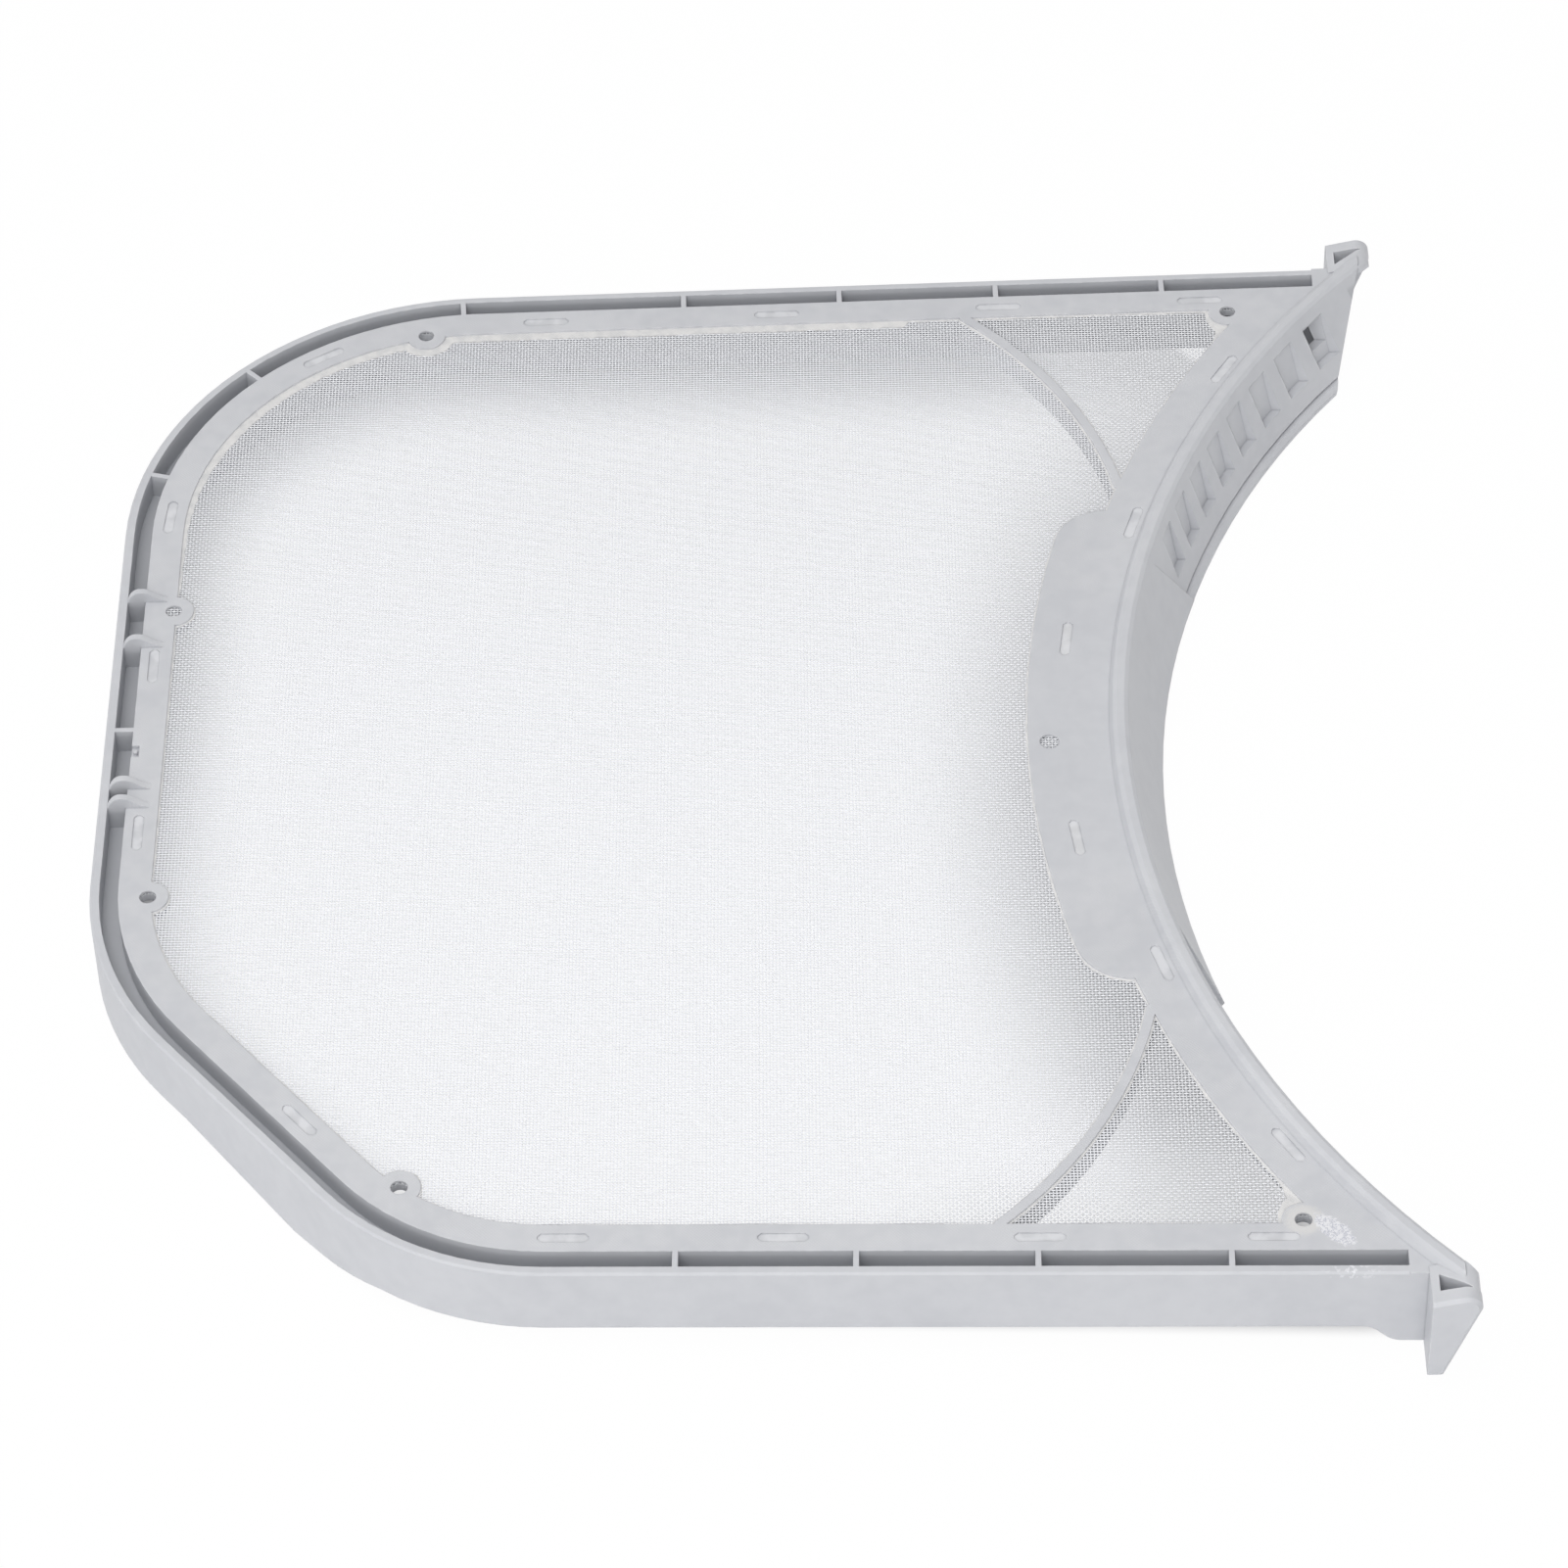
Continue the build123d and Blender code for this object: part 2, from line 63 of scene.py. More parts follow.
# The moulded frame, in millimetres, for the marks that lie at set places on it.
frame_top = 27.0
frame_left = -167.7
half_width_at_left = 171.9
rail_slope = 0.020572
flange_inset = 7.9
flange_fade = 0.3
header_fade = 1.0
top_fade = 0.12
recess_depth = 0.3
recess_fade = 0.1
level_slack = 0.04
channel_starts = (1.9, 2.25)
channel_ends = (7.2, 7.4)
channel_floor = (17.5, 18.5)
channel_brim = (24.5, 26.3)
far_corner_centre = (-75.3, 81.4)
far_corner_radius = 92.4
near_corner_ends = ((-167.7, -75.6), (-85.0, -173.6))
left_bend_reach = 30.0
near_bend_reach = 38.0
header_axis = 349.2
header_wall_radius = 256.0
tab_middle_from = (55.0, 65.0)
tab_middle_half_width = (44.0, 52.0)
horns_from = (150.0, 158.0)

# Faces of the solids: how they are joined and smoothed, and when they count as flat and as meeting.
face_join = 0.002 * MM
gentle_turn = radians(30)
flat_slack = 0.01 * MM
place_digits = 7

# Marks of use beside the near horn, in millimetres: a scuff, a cream bleed round a hole, small knocks.
scuff_place = (134.6, -165.0)
scuff_way = (0.67, -0.74)
scuff_length = 6.6
scuff_width = 3.0
scuff_edge = (-0.02, 0.2)
scratch_width = (0.015, 0.05)
bleed_place = (127.5, -161.6)
bleed_reach = (3.2, 5.6)
bleed_ragged = 3.0
knock_place = 138.0
knock_reach = 8.0
knock_side = (173.5, 175.0)
knock_height = (24.5, 26.0)
knock_patches = (0.52, 0.6)

# Patterns of the finishes: about how often each comes round in a millimetre.
mottle_scale = 0.035
blotch_scale = 0.22
grain_scale = 2.4
pressed_scale = 0.11
crumb_scale = 1.1
scratch_scale = 0.95
knock_scale = 0.9
run_out_scale = 0.35
lint_scale = 0.06
streak_scale = 1.4
floor_scale = 0.01

# Tones of the moulded plastic, and how strongly each covers what lies below it: the channel and crease
# tones are painted shade, and the worn tone is partly painted edge highlight.
plastic_dull = (0.550, 0.559, 0.588, 1)
plastic_light = (0.600, 0.608, 0.634, 1)
# painted shade: the rails' channels are painted darker, where little light reaches in
channel_painted_shade, channel_shade_cover = (0.44, 0.45, 0.475, 1), 0.75
pressed_tone, pressed_cover = (0.69, 0.693, 0.71, 1), 0.3
recess_tone, recess_cover, recess_more_on_tab = (0.70, 0.70, 0.705, 1), 0.15, 0.35
# painted shade in creases, at the foot of walls and round recesses
crease_painted_shade, crease_shade_cover = (0.40, 0.41, 0.44, 1), 0.55
# partly wear and partly painted highlight: paler convex edges, most on the horns
wear_and_highlight_tone, wear_and_highlight_cover = (0.76, 0.765, 0.79, 1), 0.55
bleed_tone, bleed_cover = (0.72, 0.705, 0.685, 1), 0.6
scuff_tone, scuff_cover, knock_cover = (0.81, 0.81, 0.84, 1), 0.85, 0.8
speck_tone, speck_cover = (0.37, 0.385, 0.46, 1), 0.65

# Wear mixed with painted highlights along edges, gloss and relief of the moulded plastic.
tone_range = (0.3, 0.7)
mottle_share = 0.6
wear_and_highlight_edge_width = 0.7 * MM
wear_and_highlight_edges = (0.18, 0.6)
wear_and_highlight_patches = (0.38, 0.62)
wear_and_highlight_more_on_horns = 0.6
crease_width = 0.6 * MM
creases = (0.04, 0.3)
pressed_patches = (0.38, 0.58)
edge_rounding = 0.35 * MM
plastic_roughness = 0.44
tone_roughness = 0.16
grain_roughness = 0.05
worn_polish = 0.08
plastic_relief = 0.05 * MM
grain_height = 0.35
pressed_height = 0.9
blotch_height = 0.25
plastic_ior = 1.49

# The plastic that ran out into the weave: tones, gloss and relief.
run_out_dull = (0.62, 0.62, 0.625, 1)
run_out_light = (0.73, 0.722, 0.715, 1)
run_out_thread = (0.86, 0.85, 0.84, 1)
run_out_cover = 0.3
run_out_patches = (0.35, 0.65)
run_out_roughness = 0.42
run_out_roughness_spread = 0.12
run_out_relief = 0.06 * MM

# Tones of the nylon: painted shade in its dips and a painted highlight on its crests, both stronger near
# the frame than out in the open, lint, and a painted shade towards the far side.
dip_shade_near_frame = (0.60, 0.608, 0.63, 1)
dip_shade_in_open = (0.868, 0.876, 0.91, 1)
crest_highlight_near_frame = (0.955, 0.962, 0.99, 1)
crest_in_open = (0.918, 0.926, 0.96, 1)
lint_tone, lint_cover = (0.89, 0.897, 0.915, 1), 0.2
# painted shade: the threads are painted greyer towards the far side
far_side_shade, far_side_shade_cover = (0.82, 0.828, 0.855, 1), 0.3
crest_range = (-0.8, 0.8)
lint_patches = (0.35, 0.7)
nylon_roughness = 0.38
streak_roughness = 0.14
nylon_relief = 0.08 * MM
nylon_bump = 0.6
streak_height = 0.2
nylon_ior = 1.53

# Where the threads' painted shade and highlights near the frame give way to the open screen's tones, in
# millimetres from the rails and the header: sooner at the near left.
open_from_rail = (10.0, 40.0)
open_from_header = (14.0, 60.0)
near_left_x = (20.0, 60.0)
near_left_y = (-60.0, 40.0)
near_left_sooner = 16.0
far_side_y = (0.0, 150.0)

# The floor: its paint, its shade under the filter, and how white the camera sees it.
floor_dull = (0.91, 0.915, 0.925, 1)
floor_light = (0.94, 0.945, 0.955, 1)
floor_shade = (0.58, 0.585, 0.60, 1)
floor_white = 0.98
floor_shade_cover = 0.86
floor_reach = 4.0

# Where the floor's shade lies, in millimetres: under the rails and the header, and gone by the middle.
shade_from_rail = (5.0, 11.0)
shade_from_header = (-4.0, 4.0)
shade_gone_from_rail = (8.0, 38.0)
shade_gone_from_header = (10.0, 60.0)
shade_gone_past = (140.0, 160.0)
behind_y = (60.0, 140.0)
behind_x = (108.0, 122.0)
behind_sooner = 14.0
small_panel_x = (55.0, 85.0)
small_panel_y = (90.0, 130.0)
small_panel_paler = 0.3

# The three points that the filter stands on.
floor_contacts = (
    Vector((-113.7, -135.9, 3.2)) * MM,
    Vector((120.1, 102.7, 0.0)) * MM,
    Vector((-159.6, 119.3, 7.4)) * MM,
)

# The light: a pale room that is darker towards the header, and two soft boxes with place, size and watts.
room_light = 0.75
room_light_fall = 0.17
soft_boxes = (
    ("key_light", (-0.4, -0.5, 1.8), 1.1, 11.4),
    ("front_light", (-0.1, -1.3, 0.95), 1.2, 6.4),
)

# The camera: where it looks, from where, and its lens.
camera_target = Vector((5.7, -15.0, 27.0)) * MM
camera_distance = 1.5524
camera_azimuth = -0.952
camera_elevation = 45.748
camera_roll = -1.762
camera_lens = 141.03
camera_sensor = 36.0
camera_far_clip = 20.0


class Value:
    """A number that changes over a surface: arithmetic on it adds Math nodes."""

    def __init__(self, finish, socket):
        self.finish = finish
        self.socket = socket

    def math(self, operation, *others):
        terms = dict(enumerate((self, *others)))
        return self.finish.add("ShaderNodeMath", {"operation": operation}, terms)

    def __add__(self, other):
        return self.math("ADD", other)

    __radd__ = __add__

    def __mul__(self, other):
        return self.math("MULTIPLY", other)

    __rmul__ = __mul__

    def __sub__(self, other):
        return self.math("SUBTRACT", other)

    def __rsub__(self, other):
        return self * -1 + other

    def __truediv__(self, other):
        return self.math("DIVIDE", other)

    def __abs__(self):
        return self.math("ABSOLUTE")

    def __pow__(self, other):
        return self.math("POWER", other)

    def least(self, other):
        return self.math("MINIMUM", other)

    def round_least(self, other, reach):
        """The lesser of two values, eased over where they come within reach of each other."""
        return self.math("SMOOTH_MIN", other, reach)

    def most(self, other):
        return self.math("MAXIMUM", other)

    def cosine(self):
        return self.math("COSINE")

    def rise(self, start, end):
        """0 below start, 1 above end, and a smooth step between them."""
        limits = {"Value": self, "From Min": start, "From Max": end}
        return self.finish.add(
            "ShaderNodeMapRange", {"interpolation_type": "SMOOTHSTEP"}, limits
        )

    def fall(self, start, end):
        """1 below start, 0 above end, and a smooth step between them."""
        return 1 - self.rise(start, end)


def distance(across, along):
    """How far a place lies from a point, from its distances along two axes."""
    return (across * across + along * along) ** 0.5


class Finish:
    """The shader nodes of one material, or of the world."""

    def __init__(self, owner):
        owner.use_nodes = True
        self.owner = owner
        self.tree = owner.node_tree
        self.tree.nodes.clear()

    def add(self, kind, settings=None, sockets=None, output=0):
        """One node of any type, with its settings, then its sockets' values or links."""
        node = self.tree.nodes.new(kind)
        for name, setting in (settings or {}).items():
            setattr(node, name, setting)
        for name, value in (sockets or {}).items():
            if isinstance(value, Value):
                self.tree.links.new(value.socket, node.inputs[name])
            else:
                node.inputs[name].default_value = value
        return Value(self, node.outputs[output] if node.outputs else None)

    def parts(self, vector):
        """The x, y and z of a vector."""
        split = self.add("ShaderNodeSeparateXYZ", None, {0: vector}).socket.node
        return [Value(self, socket) for socket in split.outputs]

    def place(self):
        """The point on the piece, in millimetres, as a vector and as x, y and z."""
        metres = self.add("ShaderNodeTexCoord", output="Object")
        point = self.add(
            "ShaderNodeVectorMath", {"operation": "SCALE"}, {0: metres, "Scale": 1 / MM}
        )
        return point, *self.parts(point)

    def room_inside(self, x, y):
        """How far a place lies in from the rails' outer faces, and how far past the header's arc."""
        rail_room = half_width_at_left + (x - frame_left) * rail_slope - abs(y)
        end_room = x - frame_left
        (start_x, start_y), (end_x, end_y) = near_corner_ends
        run = Vector((end_x - start_x, end_y - start_y)).normalized()
        chamfer_room = (y - start_y) * run.x - (x - start_x) * run.y
        centre_x, centre_y = far_corner_centre
        corner_x = (x * -1 + centre_x).most(0.0)
        corner_y = (y - centre_y).most(0.0)
        corner_room = far_corner_radius - distance(corner_x, corner_y)
        corner_room = corner_room + (x - centre_x).most(0.0) * rail_slope
        bent = chamfer_room.round_least(end_room, left_bend_reach)
        bent = bent.round_least(rail_room, near_bend_reach)
        header_room = distance(x - header_axis, y) - header_wall_radius
        return bent.least(corner_room), header_room

    def noise(self, point, scale, detail=2.0, roughness=0.5):
        """A cloudy pattern between 0 and 1."""
        sockets = {"Vector": point, "Scale": scale, "Detail": detail, "Roughness": roughness}
        return self.add("ShaderNodeTexNoise", None, sockets)

    def weave(self, x, y, pitch):
        """A wave between -1 and 1 that comes round once in a pitch, both ways."""
        return (x * (2 * pi / pitch)).cosine() * (y * (2 * pi / pitch)).cosine()

    def shut_in(self, reach, samples, inside=False):
        """How much of the space within reach of a place is shut in, in front of it or behind it."""
        settings = {"inside": inside, "only_local": True, "samples": samples}
        return 1 - self.add("ShaderNodeAmbientOcclusion", settings, {"Distance": reach}, output="AO")

    def blend(self, share, first, second):
        """A colour between two colours."""
        sockets = {0: share, 6: first, 7: second}
        return self.add("ShaderNodeMix", {"data_type": "RGBA"}, sockets, output=2)

    def bump(self, height, depth, strength=0.5, **sockets):
        """A surface that is raised by a height of that depth."""
        sockets.update({"Strength": strength, "Distance": depth, "Height": height})
        return self.add("ShaderNodeBump", None, sockets)

    def coat(self, base, roughness, normal, ior):
        """The finished material: a plain gloss surface with this colour and relief."""
        sockets = {"Base Color": base, "Roughness": roughness, "Normal": normal, "IOR": ior}
        return self.surface(self.add("ShaderNodeBsdfPrincipled", None, sockets))

    def surface(self, shader):
        """The finished material with this shader on its surface."""
        self.add("ShaderNodeOutputMaterial", None, {"Surface": shader})
        return self.owner


def new_finish(name):
    """An empty material of that name."""
    return Finish(bpy.data.materials.new(name))


def scuff_marks(skin, point, x, y):
    """The slanting scuff beside the near horn, the dark specks in it, and the bleed round the hole."""
    out_x, out_y = x - scuff_place[0], y - scuff_place[1]
    way_x, way_y = scuff_way
    along = (out_x * way_x + out_y * way_y) / scuff_length
    across = (out_y * way_x - out_x * way_y) / scuff_width
    crumbs = skin.noise(point, crumb_scale, detail=4.0, roughness=0.7) - 0.5
    scuff = (1 - distance(along, across) + crumbs).rise(*scuff_edge)
    scratches = abs(skin.noise(point, scratch_scale, detail=3.0, roughness=0.6) - 0.5)
    specks = scuff * scratches.fall(*scratch_width)
    reach = distance(x - bleed_place[0], y - bleed_place[1]) + crumbs * bleed_ragged
    return scuff, specks, reach.fall(*bleed_reach)


def knock_marks(skin, point, x, y, z):
    """Small knocks along the upper edge of the near rail's outer face."""
    along = (1 - abs((x - knock_place) / knock_reach)).most(0.0)
    knocks = along * skin.noise(point, knock_scale, detail=3.0).rise(*knock_patches)
    return knocks * (y * -1).rise(*knock_side) * z.rise(*knock_height)


def moulded_plastic():
    """Cool pale grey plastic with a satin moulded grain, pressed weave marks, a little wear mixed with
    painted highlights on its edges, and painted shade in the channels and creases.
    """
    skin = new_finish("moulded_plastic")
    point, x, y, z = skin.place()
    mottle = skin.noise(point, mottle_scale, detail=3.0)
    blotch = skin.noise(point, blotch_scale, detail=3.0)
    tone = mottle * mottle_share + blotch * (1 - mottle_share)
    grain = skin.noise(point, grain_scale)

    room, header_room = skin.room_inside(x, y)
    top = z.rise(frame_top - top_fade, frame_top - level_slack)
    on_flange = room.rise(flange_inset - flange_fade, flange_inset) * header_room.rise(0.0, header_fade)
    recess_floor = frame_top - recess_depth
    recess = on_flange * abs(z - recess_floor).fall(level_slack, recess_fade)
    tab_middle = x.rise(*tab_middle_from) * abs(y).fall(*tab_middle_half_width)
    weave = skin.weave(x, y, thread_pitch / MM)
    pressed = top * on_flange * (1 - tab_middle)
    pressed = pressed * skin.noise(point, pressed_scale).rise(*pressed_patches)
    # Painted shade: a darker colour laid into the rails' channels, between their floor and brim.
    in_channel = room.rise(*channel_starts) * room.fall(*channel_ends)
    in_channel = in_channel * z.rise(*channel_floor) * z.fall(*channel_brim)

    # Partly wear, partly painted highlight: convex edges are painted paler in patches, more on the horns.
    edge = skin.shut_in(wear_and_highlight_edge_width, samples=8, inside=True)
    wear_and_edge_highlight = blotch.rise(*wear_and_highlight_patches) + x.rise(*horns_from) * wear_and_highlight_more_on_horns
    wear_and_edge_highlight = wear_and_edge_highlight * edge.rise(*wear_and_highlight_edges)
    # Painted shade: creases, corners and recess edges are painted darker where space within reach is shut
    # in.
    crease = skin.shut_in(crease_width, samples=6)
    scuff, specks, bleed = scuff_marks(skin, point, x, y)
    knocks = knock_marks(skin, point, x, y, z)

    base = skin.blend(tone.rise(*tone_range), plastic_dull, plastic_light)
    coats = (
        # painted shade in the rails' channels
        (in_channel * channel_shade_cover, channel_painted_shade),
        (pressed * (weave * 0.5 + 0.5) * pressed_cover, pressed_tone),
        (recess * (tab_middle * recess_more_on_tab + recess_cover), recess_tone),
        # painted shade in creases
        (crease.rise(*creases) * crease_shade_cover, crease_painted_shade),
        # wear and painted highlight along convex edges
        (wear_and_edge_highlight * wear_and_highlight_cover, wear_and_highlight_tone),
        (top * bleed * bleed_cover, bleed_tone),
        ((top * scuff * scuff_cover).most(knocks * knock_cover), scuff_tone),
        (top * specks * speck_cover, speck_tone),
    )
    for share, colour in coats:
        base = skin.blend(share, base, colour)

    roughness = plastic_roughness + (tone - 0.5) * tone_roughness
    roughness = roughness + grain * grain_roughness - wear_and_edge_highlight * worn_polish
    rounded = skin.add("ShaderNodeBevel", {"samples": 6}, {"Radius": edge_rounding})
    relief = grain * grain_height + pressed * weave * pressed_height + blotch * blotch_height
    normal = skin.bump(relief, plastic_relief, Normal=rounded)
    return skin.coat(base, roughness, normal, plastic_ior)


def run_out_plastic():
    """Thin creamy plastic that has soaked into the weave."""
    skin = new_finish("run_out_plastic")
    point, x, y, _ = skin.place()
    weave = skin.weave(x, y, thread_pitch / MM)
    patch = skin.noise(point, run_out_scale, detail=3.0)
    base = skin.blend(patch.rise(*run_out_patches), run_out_dull, run_out_light)
    base = skin.blend((weave * 0.5 + 0.5) * run_out_cover, base, run_out_thread)
    roughness = run_out_roughness + patch * run_out_roughness_spread
    normal = skin.bump(weave + patch, run_out_relief)
    return skin.coat(base, roughness, normal, plastic_ior)


def drawn_nylon(name, over):
    """White nylon thread with painted shade where it dips under the crossing thread and painted
    highlights on its crests, both stronger near the frame, and painted shade towards the far side.
    """
    thread = new_finish(name)
    point, x, y, _ = thread.place()
    crossing = thread.weave(x, y, 2 * thread_pitch / MM)
    high = (crossing * over).rise(*crest_range)
    lint = thread.noise(point, lint_scale, detail=4.0, roughness=0.6)
    streak = thread.noise(point, streak_scale)
    room, header_room = thread.room_inside(x, y)
    near_left = x.fall(*near_left_x) * y.fall(*near_left_y)
    open_air = (room + near_left * near_left_sooner).rise(*open_from_rail)
    open_air = open_air * header_room.rise(*open_from_header)
    # Painted shade in the dips and a painted highlight on the crests, both stronger near the frame.
    dip_shade = thread.blend(open_air, dip_shade_near_frame, dip_shade_in_open)
    crest = thread.blend(open_air, crest_highlight_near_frame, crest_in_open)
    base = thread.blend(high, dip_shade, crest)
    base = thread.blend(lint.rise(*lint_patches) * lint_cover, base, lint_tone)
    # Painted shade: the threads are painted greyer towards the far side.
    base = thread.blend(y.rise(*far_side_y) * far_side_shade_cover, base, far_side_shade)
    roughness = nylon_roughness + streak * streak_roughness
    normal = thread.bump(high + streak * streak_height, nylon_relief, strength=nylon_bump)
    return thread.coat(base, roughness, normal, nylon_ior)


def white_floor():
    """A matt floor that the camera sees as white, with the shade that gathers under the filter."""
    paint = new_finish("white_floor")
    point, x, y, _ = paint.place()
    tone = paint.noise(point, floor_scale)
    room, header_room = paint.room_inside(x, y)
    behind = y.rise(*behind_y) * x.fall(*behind_x)
    under = (room + behind * behind_sooner).rise(*shade_from_rail)
    under = under * header_room.rise(*shade_from_header) * x.fall(*shade_gone_past)
    middle = room.rise(*shade_gone_from_rail) * header_room.rise(*shade_gone_from_header)
    small_panels = x.rise(*small_panel_x) * abs(y).rise(*small_panel_y)
    shade = under * (1 - middle) * (1 - small_panels * small_panel_paler)
    colour = paint.blend(tone, floor_dull, floor_light)
    colour = paint.blend(shade, colour, floor_shade)
    matt = paint.add("ShaderNodeBsdfDiffuse", None, {"Color": colour})
    glow = paint.add("ShaderNodeEmission", None, {"Color": (1, 1, 1, 1), "Strength": 1.0})
    white = seen_rays(paint) * (floor_white - shade * floor_shade_cover)
    return paint.surface(paint.add("ShaderNodeMixShader", None, {0: white, 1: matt, 2: glow}))


def seen_rays(paint):
    """1 for rays that the camera sees straight, in a gloss or through something clear."""
    rays = paint.add("ShaderNodeLightPath").socket.node
    straight, gloss, clear = (
        Value(paint, rays.outputs[name])
        for name in ("Is Camera Ray", "Is Glossy Ray", "Is Transmission Ray")
    )
    return straight.most(gloss).most(clear)


def new_tree(name, inputs):
    """An empty Geometry Nodes tree with a geometry in and out and the named inputs."""
    tree = bpy.data.node_groups.new(name, "GeometryNodeTree")
    tree.interface.new_socket("Geometry", in_out="INPUT", socket_type="NodeSocketGeometry")
    for label, kind in inputs:
        tree.interface.new_socket(label, in_out="INPUT", socket_type=kind)
    tree.interface.new_socket("Geometry", in_out="OUTPUT", socket_type="NodeSocketGeometry")
    return tree


def tree_node(tree, kind, settings=None, sockets=None):
    """One node of a tree, with its settings, then its sockets' values or links."""
    node = tree.nodes.new(kind)
    for name, setting in (settings or {}).items():
        setattr(node, name, setting)
    for name, value in (sockets or {}).items():
        if isinstance(value, bpy.types.NodeSocket):
            tree.links.new(value, node.inputs[name])
        else:
            node.inputs[name].default_value = value
    return node


def dress(piece, tree, values):
    """A Geometry Nodes modifier on a piece, with the tree's named inputs set."""
    modifier = piece.modifiers.new(tree.name, "NODES")
    modifier.node_group = tree
    for socket in tree.interface.items_tree:
        if socket.in_out == "INPUT" and socket.name in values:
            modifier[socket.identifier] = values[socket.name]


def soft_shading_tree():
    """Joins the loose triangles of a moulding and smooths it wherever its faces turn gently."""
    tree = new_tree("soft_shading", (("Join", "NodeSocketFloat"), ("Turn", "NodeSocketFloat")))
    given = tree_node(tree, "NodeGroupInput")
    joined = tree_node(
        tree,
        "GeometryNodeMergeByDistance",
        None,
        {"Geometry": given.outputs["Geometry"], "Distance": given.outputs["Join"]},
    )
    turn = tree_node(tree, "GeometryNodeInputMeshEdgeAngle")
    gentle = tree_node(
        tree,
        "FunctionNodeCompare",
        {"data_type": "FLOAT", "operation": "LESS_THAN"},
        {0: turn.outputs["Unsigned Angle"], 1: given.outputs["Turn"]},
    )
    faces = tree_node(
        tree,
        "GeometryNodeSetShadeSmooth",
        {"domain": "FACE"},
        {"Geometry": joined.outputs["Geometry"], "Shade Smooth": True},
    )
    edges = tree_node(
        tree,
        "GeometryNodeSetShadeSmooth",
        {"domain": "EDGE"},
        {"Geometry": faces.outputs["Geometry"], "Shade Smooth": gentle.outputs["Result"]},
    )
    tree_node(tree, "NodeGroupOutput", None, {"Geometry": edges.outputs["Geometry"]})
    return tree


def thread_tree():
    """Turns lines into closed round threads."""
    inputs = (
        ("Thickness", "NodeSocketFloat"),
        ("Sides", "NodeSocketInt"),
        ("Nylon", "NodeSocketMaterial"),
    )
    tree = new_tree("drawn_thread", inputs)
    given = tree_node(tree, "NodeGroupInput")
    radius = tree_node(
        tree, "ShaderNodeMath", {"operation": "MULTIPLY"}, {0: given.outputs["Thickness"], 1: 0.5}
    )
    section = tree_node(
        tree,
        "GeometryNodeCurvePrimitiveCircle",
        {"mode": "RADIUS"},
        {"Resolution": given.outputs["Sides"], "Radius": radius.outputs[0]},
    )
    line = tree_node(
        tree, "GeometryNodeMeshToCurve", None, {"Mesh": given.outputs["Geometry"]}
    )
    tube = tree_node(
        tree,
        "GeometryNodeCurveToMesh",
        None,
        {
            "Curve": line.outputs["Curve"],
            "Profile Curve": section.outputs["Curve"],
            "Fill Caps": True,
        },
    )
    soft = tree_node(
        tree,
        "GeometryNodeSetShadeSmooth",
        None,
        {"Geometry": tube.outputs["Mesh"], "Shade Smooth": True},
    )
    real = tree_node(
        tree, "GeometryNodeRealizeInstances", None, {"Geometry": soft.outputs["Geometry"]}
    )
    coated = tree_node(
        tree,
        "GeometryNodeSetMaterial",
        None,
        {"Geometry": real.outputs["Geometry"], "Material": given.outputs["Nylon"]},
    )
    tree_node(tree, "NodeGroupOutput", None, {"Geometry": coated.outputs["Geometry"]})
    return tree


def flat_sides(piece, level):
    """The edges round a piece's flat faces at one height."""
    points = [vertex.co for vertex in piece.data.vertices]
    uses = {}
    for face in piece.data.polygons:
        corners = [points[index] for index in face.vertices]
        if max(abs(corner.z - level) for corner in corners) > flat_slack:
            continue
        flat = [(round(corner.x, place_digits), round(corner.y, place_digits)) for corner in corners]
        for ends in around(flat):
            side = tuple(sorted(ends))
            uses[side] = uses.get(side, 0) + 1
    return [side for side, count in uses.items() if count == 1]


def around(loop):
    """Each point of a closed loop with the one that follows it."""
    return list(zip(loop, loop[1:] + loop[:1]))


def width_of(loop):
    """How far a loop reaches along x."""
    places = [point[0] for point in loop]
    return max(places) - min(places)


def area_of(loop):
    """The area inside a loop, above zero if it runs anticlockwise."""
    return sum(a[0] * b[1] - b[0] * a[1] for a, b in around(loop)) / 2


def loops_of(sides):
    """Edges joined end to end, as closed loops of points."""
    beside = {}
    for first, last in sides:
        beside.setdefault(first, []).append(last)
        beside.setdefault(last, []).append(first)
    loops = []
    while beside:
        loop = [next(iter(beside))]
        while loop[-1] in beside:
            onward = [end for end in beside.pop(loop[-1]) if end in beside]
            loop += onward[:1]
        loops.append(loop)
    return loops


def outline_of(sheet):
    """The sheet's own edge and its round pin holes: the weave runs on over the plain openings."""
    outline = []
    for loop in loops_of(flat_sides(sheet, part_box("mesh_screen")[1][2])):
        if width_of(loop) < pin_hole_most or width_of(loop) > screen_flat[0] / 2:
            outline += around(loop)
    return outline


def stretches(outline, across, place):
    """Where a line at one place across the sheet lies inside its outline, as pairs of ends."""
    along = 1 - across
    cuts = []
    for first, last in outline:
        if (first[across] > place) != (last[across] > place):
            share = (place - first[across]) / (last[across] - first[across])
            cuts.append(first[along] + share * (last[along] - first[along]))
    cuts.sort()
    return zip(cuts[::2], cuts[1::2])


def show(name, shape):
    """A new object that shows a mesh, a lamp or a lens, at the origin."""
    piece = bpy.data.objects.new(name, shape)
    bpy.context.scene.collection.objects.link(piece)
    return piece


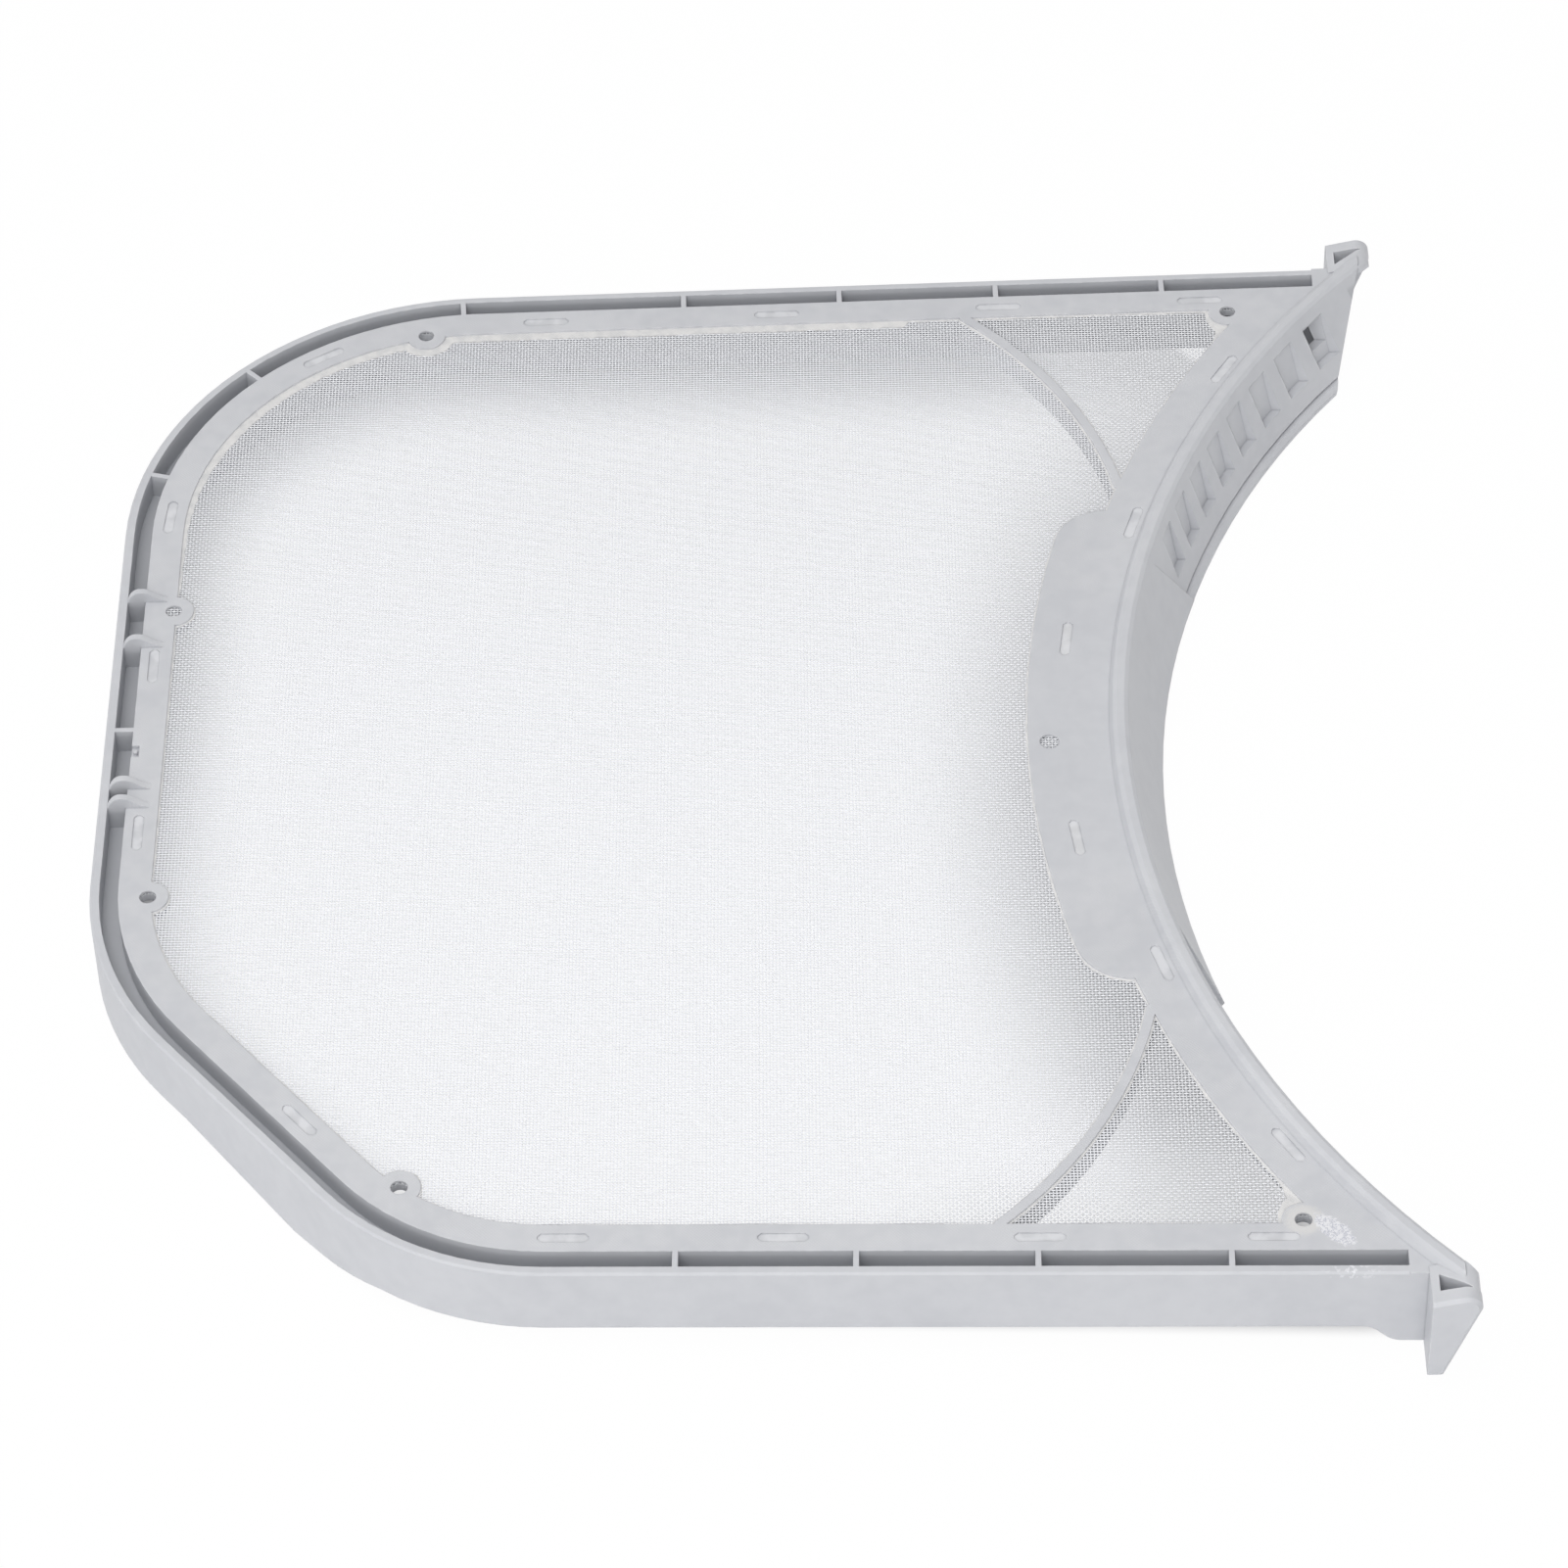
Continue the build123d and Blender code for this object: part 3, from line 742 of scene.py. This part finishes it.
def thread_lines(name, outline, across, height):
    """One line for each thread that runs one way over the sheet, between the edges it meets."""
    stray = random.Random(thread_seed + across)
    places = [end[across] for side in outline for end in side]
    count = int((max(places) - min(places)) / thread_pitch)
    corners = []
    for number in range(count + 1):
        place = round(min(places) / thread_pitch) * thread_pitch + number * thread_pitch
        place += stray.uniform(-thread_stray, thread_stray)
        for start, end in stretches(outline, across, place):
            if end - start < 2 * thread_thickness:
                continue
            for along in (start, end):
                corners.append((along, place, height) if across else (place, along, height))
    mesh = bpy.data.meshes.new(name)
    pairs = [(index, index + 1) for index in range(0, len(corners), 2)]
    mesh.from_pydata(corners, pairs, [])
    return show(name, mesh)


def plain_mesh(piece):
    """The mesh that a piece's modifiers make, with the piece taken away."""
    evaluated = piece.evaluated_get(bpy.context.evaluated_depsgraph_get())
    mesh = bpy.data.meshes.new_from_object(evaluated)
    bpy.data.objects.remove(piece)
    return mesh


def woven_screen(sheet):
    """Both layers of thread as one piece, cut to the sheet that they stand for."""
    low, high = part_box("mesh_screen")
    outline = outline_of(sheet)
    tree = thread_tree()
    layers = (
        ("screen_weft", 1, high[2] - thread_thickness / 2, 1.0),
        ("screen_warp", 0, low[2] + thread_thickness / 2, -1.0),
    )
    meshes = []
    for name, across, height, over in layers:
        lines = thread_lines(name, outline, across, height)
        values = {
            "Thickness": thread_thickness,
            "Sides": thread_sides,
            "Nylon": drawn_nylon(name, over),
        }
        dress(lines, tree, values)
        meshes.append(plain_mesh(lines))
    pieces = [show("woven_screen", mesh) for mesh in meshes]
    with bpy.context.temp_override(
        active_object=pieces[0], selected_editable_objects=pieces, selected_objects=pieces
    ):
        bpy.ops.object.join()
    return pieces[0]


def even_steps(loop, step):
    """Points along a loop, about one step apart, each with the way the loop runs there."""
    spots = []
    carried = 0.0
    for first, last in around(loop):
        start = Vector(first)
        run = Vector(last) - start
        way = run.normalized()
        while carried < run.length:
            spots.append((start + way * carried, way))
            carried += step
        carried -= run.length
    return spots


def run_out(spot, tip, chance):
    """How far the plastic ran out at one spot: most along the far rail and into the sharp corners."""
    width = flash_least + chance.uniform(-flash_ragged, flash_ragged)
    far = (spot.y / MM - flash_far_from) / (flash_far_full - flash_far_from)
    if spot.x < flash_far_end * MM:
        width += flash_far_rail * min(max(far, 0.0), 1.0)
    if tip is not None:
        width += flash_tip * exp(-((spot - tip).length / MM / flash_tip_reach) ** 2)
    return width * MM


def panel_loops(moulding):
    """The edges of the three panels in the flange, each run anticlockwise."""
    for loop in loops_of(flat_sides(moulding, frame_top * MM)):
        area = area_of(loop) / MM**2
        if abs(area) < panel_area_least or width_of(loop) > panel_width_most * MM:
            continue
        yield loop if area > 0 else loop[::-1]


def flash_band(moulding):
    """A ragged skin of plastic at the screen's level, along the edges of the three panels."""
    chance = random.Random(flash_seed)
    corners = []
    faces = []
    for loop in panel_loops(moulding):
        sharp_corner = max(loop)
        tip = Vector(sharp_corner) if sharp_corner[0] > sharp_corner_past * MM else None
        spots = even_steps(loop, flash_step * MM)
        widths = [run_out(spot, tip, chance) for spot, way in spots]
        first = len(corners)
        for number, (spot, way) in enumerate(spots):
            onward_width = widths[(number + 1) % len(spots)]
            width = (widths[number - 1] + 2 * widths[number] + onward_width) / 4
            inward = Vector((-way.y, way.x))
            outer = spot - inward * flash_overlap * MM
            inner = spot + inward * width
            for place, height in (
                (outer, flash_top),
                (inner, flash_edge),
                (inner, flash_under),
                (outer, flash_under),
            ):
                corners.append((place.x, place.y, height * MM))
        for number in range(len(spots)):
            here = first + 4 * number
            onward = first + 4 * ((number + 1) % len(spots))
            for side in range(4):
                other = (side + 1) % 4
                faces.append((here + side, onward + side, onward + other, here + other))
    mesh = bpy.data.meshes.new("flash_band")
    mesh.from_pydata(corners, [], faces)
    mesh.materials.append(run_out_plastic())
    return show("flash_band", mesh)


def lay_floor():
    """A wide floor under the three points that the filter stands on."""
    first, second, third = floor_contacts
    middle = (first + second + third) / 3
    up = (second - first).cross(third - first).normalized()
    along = (Vector((1, 0, 0)) - up * up.x).normalized() * floor_reach
    beside = up.cross(along)
    corners = [middle - along - beside, middle + along - beside]
    corners += [middle + along + beside, middle - along + beside]
    mesh = bpy.data.meshes.new("floor")
    mesh.from_pydata(corners, [], [(0, 1, 2, 3)])
    mesh.materials.append(white_floor())
    show("floor", mesh)


def soft_light(name, place, size, power):
    """A square soft box that faces the filter."""
    lamp = bpy.data.lights.new(name, "AREA")
    lamp.shape = "SQUARE"
    lamp.size = size
    lamp.energy = power
    box = show(name, lamp)
    box.location = place
    box.rotation_euler = (camera_target - Vector(place)).to_track_quat("-Z", "Y").to_euler()


def light_room():
    """An even pale room, white where it is seen, with one soft key and a light from the front."""
    world = bpy.data.worlds.new("pale_room")
    bpy.context.scene.world = world
    room = Finish(world)
    seen = seen_rays(room)
    sideways = room.parts(room.add("ShaderNodeTexCoord", output="Generated"))[0]
    lit = room_light - sideways * room_light_fall
    glow = room.add("ShaderNodeBackground", None, {"Strength": lit + seen * (1 - lit)})
    room.add("ShaderNodeOutputWorld", None, {"Surface": glow})
    for name, place, size, power in soft_boxes:
        soft_light(name, place, size, power)


def set_camera():
    """The camera at the photograph's angle."""
    turn, lift, roll = (radians(a) for a in (camera_azimuth, camera_elevation, camera_roll))
    forward = Vector((sin(turn) * cos(lift), cos(turn) * cos(lift), -sin(lift)))
    level = Vector((cos(turn), -sin(turn), 0))
    upright = level.cross(forward)
    right = level * cos(roll) + upright * sin(roll)
    up = upright * cos(roll) - level * sin(roll)
    lens = bpy.data.cameras.new("camera")
    lens.sensor_width = camera_sensor
    lens.lens = camera_lens
    lens.clip_end = camera_far_clip
    camera = show("camera", lens)
    stand = Matrix.Translation(camera_target - forward * camera_distance)
    camera.matrix_world = stand @ Matrix((right, up, -forward)).transposed().to_4x4()
    bpy.context.scene.camera = camera


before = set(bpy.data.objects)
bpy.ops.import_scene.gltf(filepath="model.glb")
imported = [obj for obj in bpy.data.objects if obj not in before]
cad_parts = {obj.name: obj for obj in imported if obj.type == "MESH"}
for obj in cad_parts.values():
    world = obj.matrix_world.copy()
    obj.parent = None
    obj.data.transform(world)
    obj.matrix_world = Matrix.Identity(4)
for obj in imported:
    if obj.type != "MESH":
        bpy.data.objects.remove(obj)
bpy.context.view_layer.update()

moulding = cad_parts["frame"]
moulding.data.materials.clear()
moulding.data.materials.append(moulded_plastic())
dress(moulding, soft_shading_tree(), {"Join": face_join, "Turn": gentle_turn})

screen = woven_screen(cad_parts["mesh_screen"])
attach(screen, "root")
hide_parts("mesh_screen")

band = flash_band(moulding)
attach(band, "root")

lay_floor()
light_room()
set_camera()
bpy.context.scene.view_settings.view_transform = "Standard"
